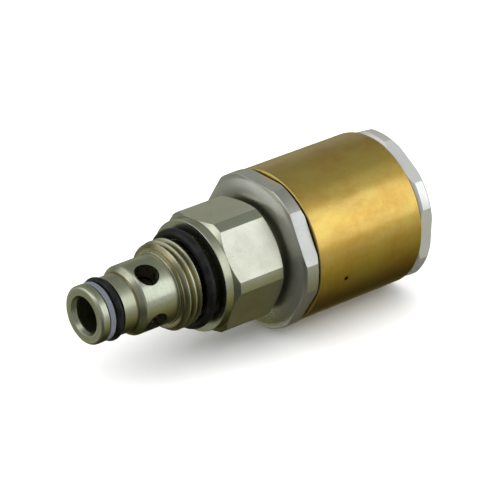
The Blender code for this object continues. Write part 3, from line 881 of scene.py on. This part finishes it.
def make_pin():
    front, rear, _ = extent("push_pin")
    outline = [
        (front, 0.0),
        (front, PIN_R, SOFT),
        (PIN_COLLAR[0], PIN_R),
        (PIN_COLLAR[0], PIN_COLLAR_R),
        (PIN_COLLAR[1], PIN_COLLAR_R),
        (PIN_COLLAR[1], PIN_R),
        (rear, PIN_R, SOFT),
        (rear, 0.0),
    ]
    place_piece(turned("push_pin", outline, closed=False), "push_pin")


def make_piston():
    front, rear, radius = extent("air_piston")
    bore = PIN_R + GAP
    outline = [
        (front, bore),
        (front, PISTON_HUB_R, SOFT),
        (PISTON_FACE_X, PISTON_HUB_R, SOFT),
        (PISTON_FACE_X, radius),
        (GUIDE_GROOVE[0], radius),
        (GUIDE_GROOVE[0], GUIDE_GROOVE_R),
        (GUIDE_GROOVE[1], GUIDE_GROOVE_R),
        (GUIDE_GROOVE[1], radius),
        (PISTON_GROOVE[0], radius),
        (PISTON_GROOVE[0], SEAL_GROOVE_R),
        (PISTON_GROOVE[1], SEAL_GROOVE_R),
        (PISTON_GROOVE[1], radius),
        (rear, radius),
        (rear, NUT_RECESS_R),
        (NUT_RECESS_X, NUT_RECESS_R),
        (NUT_RECESS_X, bore),
    ]
    place_piece(turned("air_piston", outline, even_angles(ROUND_STEPS)), "air_piston")


def make_nut():
    front, rear, _ = extent("piston_nut")
    angles = hexagon_angles(NUT_HEXAGON)
    limit = hexagon_limit(NUT_HEXAGON, angles)
    start = NUT_HEXAGON.corner_r - NUT_CHAMFER
    outline = [
        (front, PIN_R + GAP),
        *crown((front, start, NUT_CHAMFER), (rear, start, -NUT_CHAMFER), NUT_HEXAGON, limit, CRISP),
        (rear, PIN_R + GAP),
    ]
    place_piece(turned("piston_nut", outline, angles, hexagon=NUT_HEXAGON), "piston_nut")


def make_spring(node, spring):
    """A wire spring with closed, ground ends."""
    wire, turns = spring
    front, rear, radius = extent(node)
    mean = radius - wire
    length = rear - front - wire
    close_pitch = CLOSED_PITCH * wire
    open_pitch = (length - 2.0 * CLOSED_TURNS * close_pitch) / (turns - 2.0 * CLOSED_TURNS)
    steps = round(WIRE_STEPS * turns)
    turn = np.linspace(0.0, turns, steps + 1)
    closed = np.minimum(turn, CLOSED_TURNS) + np.maximum(turn - (turns - CLOSED_TURNS), 0.0)
    x = front + wire / 2.0 + close_pitch * closed + open_pitch * (turn - closed)
    around = math.tau * turn
    side = math.tau * np.arange(WIRE_SIDES) / WIRE_SIDES
    reach = mean + wire * np.cos(side)[None, :]
    points = np.stack([
        np.clip(x[:, None] + wire * np.sin(side)[None, :], front, rear),
        reach * np.cos(around)[:, None],
        reach * np.sin(around)[:, None],
    ], axis=-1).reshape(-1, 3)
    faces = []
    for step in range(steps):
        for index in range(WIRE_SIDES):
            beside = (index + 1) % WIRE_SIDES
            near, far = step * WIRE_SIDES, (step + 1) * WIRE_SIDES
            faces.append((near + index, near + beside, far + beside, far + index))
    faces.append(list(reversed(range(WIRE_SIDES))))
    faces.append([steps * WIRE_SIDES + index for index in range(WIRE_SIDES)])
    piece = place_piece(new_piece(node, points, faces), node)
    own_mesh(piece)


# ------------------------------------------------------------ light and view


def height_along(tree, direction, lean):
    """How far a direction reaches along a leaning axis."""
    return add(tree, "VectorMath", {0: direction, 1: lean}, operation="DOT_PRODUCT").outputs["Value"]


def make_world():
    """Soft surroundings: even and neutral above, warmer and darker towards the ground behind."""
    world = bpy.data.worlds.new("studio")
    bpy.context.scene.world = world
    world.use_nodes = True
    tree = world.node_tree
    background = tree.nodes["Background"]
    direction = add(tree, "TexCoord").outputs["Generated"]
    height = height_along(tree, direction, WORLD_LEAN)
    reach = WORLD_LEAN.length
    ramp = add(tree, "ValToRGB", {"Fac": spread(tree, height, -reach, reach, 0.0, 1.0)})
    elements = ramp.color_ramp.elements
    for level, tone in WORLD_STOPS:
        elements.new(0.5 + level / (2.0 * reach)).color = colour(tone)
    elements.remove(elements[0])
    elements.remove(elements[-1])
    tree.links.new(ramp.outputs["Color"], background.inputs["Color"])
    depth = height_along(tree, direction, GROUND_LEAN)
    tree.links.new(spread(tree, depth, *GROUND_FADE, GROUND_STRENGTH, 1.0), background.inputs["Strength"])


def add_softbox(name, toward, distance, width, height, radiance, tint, glossy=True):
    """An area light in a direction from the target, facing it, with an even surface radiance."""
    data = bpy.data.lights.new(name, "AREA")
    data.shape = "RECTANGLE"
    data.size = width
    data.size_y = height
    data.energy = radiance * math.pi * width * height
    data.color = tint
    light = bpy.data.objects.new(name, data)
    direction = Vector(toward).normalized()
    light.location = TARGET + direction * distance
    light.rotation_euler = direction.to_track_quat("Z", "Y").to_euler()
    light.visible_camera = False
    light.visible_glossy = glossy
    bpy.context.scene.collection.objects.link(light)


def make_floor():
    """A pale dish: flat under the valve and curving up far around it."""
    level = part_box("rear_cap")[0].z - FLOOR_GAP
    rings = [(FLOOR_INNER_R, level), (FLOOR_R, level)]
    for turn in np.linspace(*FLOOR_CURVE, FLOOR_RINGS):
        rings.append((FLOOR_R + FLOOR_CURVE_R * math.sin(turn),
                      level + FLOOR_CURVE_R * (1.0 - math.cos(turn))))
    points, faces = [(0.0, 0.0, level)], []
    for radius, z in rings:
        for step in range(FLOOR_STEPS):
            turn = math.tau * step / FLOOR_STEPS
            points.append((radius * math.cos(turn), radius * math.sin(turn), z))
    for step in range(FLOOR_STEPS):
        beside = (step + 1) % FLOOR_STEPS
        faces.append((0, 1 + step, 1 + beside))
        for ring in range(len(rings) - 1):
            near, far = 1 + ring * FLOOR_STEPS, 1 + (ring + 1) * FLOOR_STEPS
            faces.append((near + step, far + step, far + beside, near + beside))
    mesh = bpy.data.meshes.new("floor")
    mesh.from_pydata(points, [], faces)
    mesh.shade_smooth()
    floor = bpy.data.objects.new("floor", mesh)
    bpy.context.scene.collection.objects.link(floor)
    material, _, shader = new_material("floor_paint")
    shader.inputs["Base Color"].default_value = colour(FLOOR_COLOUR)
    shader.inputs["Roughness"].default_value = 0.9
    shader.inputs["Specular IOR Level"].default_value = 0.0
    mesh.materials.append(material)
    floor.visible_glossy = False


def make_camera():
    data = bpy.data.cameras.new("camera")
    data.lens = LENS
    data.sensor_width = SENSOR
    camera = bpy.data.objects.new("camera", data)
    azimuth, elevation = math.radians(AZIMUTH), math.radians(ELEVATION)
    back = Vector((math.sin(azimuth) * math.cos(elevation), -math.cos(azimuth) * math.cos(elevation),
                   math.sin(elevation)))
    camera.location = TARGET + back * DISTANCE
    camera.rotation_euler = (-back).to_track_quat("-Z", "Y").to_euler()
    bpy.context.scene.collection.objects.link(camera)
    bpy.context.scene.camera = camera


def make_pieces():
    make_body()
    make_flange()
    make_barrel()
    make_cap()
    make_o_ring("nose_o_ring", *NOSE_SEAL)
    make_o_ring("port_o_ring", *PORT_SEAL, PORT_SEAL_TILT, PORT_SEAL_TILT_ANGLE)
    make_o_ring("pin_seal", PIN_SEAL_SECTION)
    make_o_ring("bush_o_ring", BUSH_SEAL_SECTION)
    make_o_ring("rear_cap_o_ring", AIR_SEAL_SECTION)
    make_o_ring("piston_seal", AIR_SEAL_SECTION)
    make_box_ring("nose_backup_ring", NOSE_GROOVE_R + GAP)
    make_box_ring("pin_backup_ring", PIN_R + GAP, rounding=CRISP)
    make_box_ring("piston_guide_ring", GUIDE_GROOVE_R + GAP, GUIDE_SWEEP)
    make_box_ring("bush_retaining_ring", RING_INNER_R, RING_SWEEP)
    make_box_ring("retainer_clip", CLIP_GROOVE_R + GAP, CLIP_SWEEP)
    make_box_ring("spring_retainer", STEM_R + GAP)
    make_box_ring("piston_washer", PIN_R + GAP)
    make_bush()
    make_spool()
    make_pin()
    make_piston()
    make_nut()
    make_spring("spool_spring", SPOOL_SPRING)
    make_spring("piston_return_spring", PISTON_SPRING)


make_camera()
make_pieces()
make_world()
make_floor()
for softbox, settings in SOFTBOXES.items():
    add_softbox(softbox, *settings)
add_softbox("floor_light", *FLOOR_LIGHT, glossy=False)
bpy.context.scene.view_settings.view_transform = "Standard"
